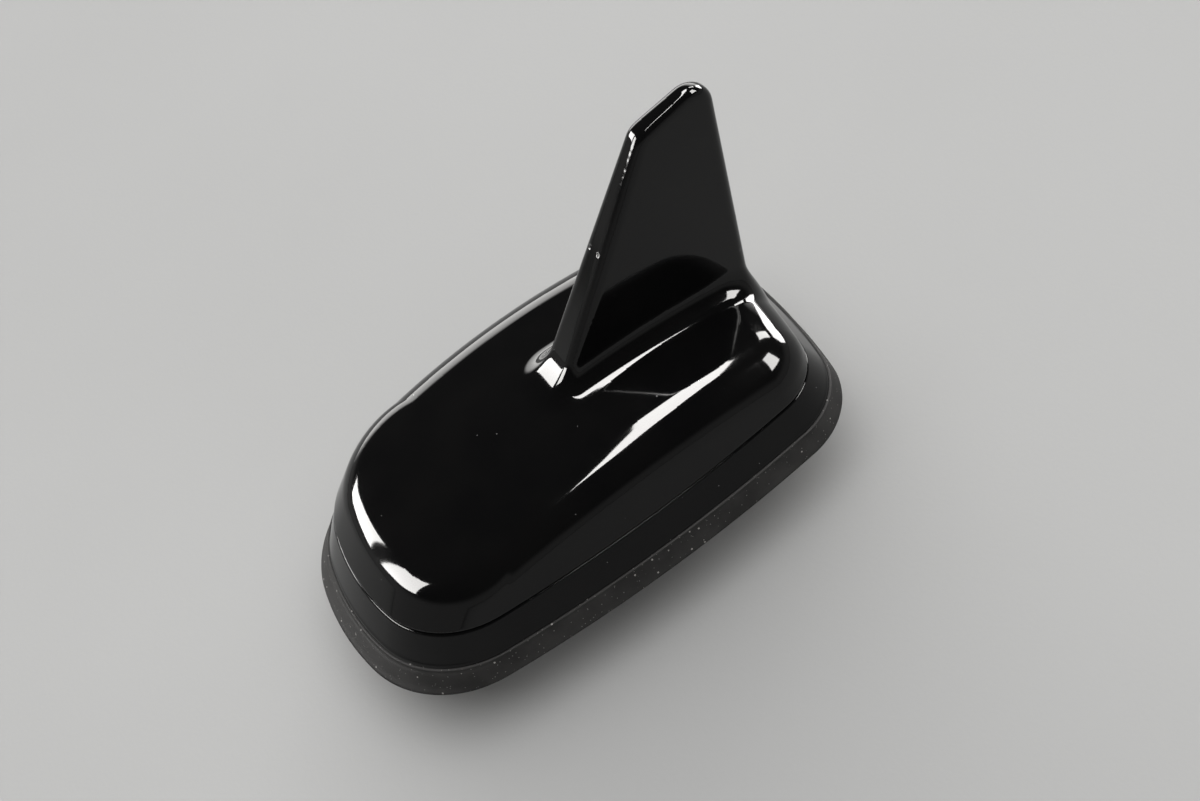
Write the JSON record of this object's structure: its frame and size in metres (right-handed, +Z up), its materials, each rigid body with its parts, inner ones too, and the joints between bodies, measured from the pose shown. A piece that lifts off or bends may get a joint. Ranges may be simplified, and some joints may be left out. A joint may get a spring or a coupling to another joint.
{
  "type": "shark fin antenna",
  "caption": "Roof antenna with a glossy black hood and upright fin on a rubber gasket, held by a hollow threaded stem, with receiving boards inside",
  "frame": {"origin": "on the stem axis, in the plane where the gasket meets the roof", "axes": "+Z up out of the roof, -Y towards the nose, +X to one side"},
  "size_m": [0.071, 0.1185, 0.0891],
  "materials": {
    "gloss_black": "high gloss black moulding",
    "gloss_black_band": "high gloss black moulding",
    "gasket_rubber": "matte dark grey rubber with dust",
    "cast_plate": "as die cast",
    "seal_rubber": "soft black rubber",
    "stem_metal": "turned and plated",
    "grommet_rubber": "soft black rubber",
    "board_green": "green solder mask",
    "ceramic": "pressed and fired",
    "silvering": "silvered film",
    "solder": "tinned",
    "tinplate": "bright tinplate",
    "chip_black": "moulded epoxy",
    "socket_brass": "gilded brass",
    "holder_plastic": "natural moulding",
    "copper": "copper foil",
    "screw_steel": "zinc plated"
  },
  "bodies": {
    "root": {"outer_cover": "gloss_black", "base_frame": "gloss_black_band", "roof_gasket": "gasket_rubber", "base_plate": "cast_plate", "cover_seal": "seal_rubber", "threaded_stem": "stem_metal", "cable_grommet": "grommet_rubber", "main_board": "board_green", "patch_antenna": "ceramic", "patch_electrode": "silvering", "patch_feed_pin": "solder", "amplifier_can": "tinplate", "tuner_can": "tinplate", "amplifier_chip": "chip_black", "tuner_chip": "chip_black", "lead_sockets": "socket_brass", "fin_board": "board_green", "fin_holder_front": "holder_plastic", "fin_holder_rear": "holder_plastic", "fin_aerial": "copper", "cover_screws": "screw_steel", "board_screws": "screw_steel"}
  },
  "joints": []
}
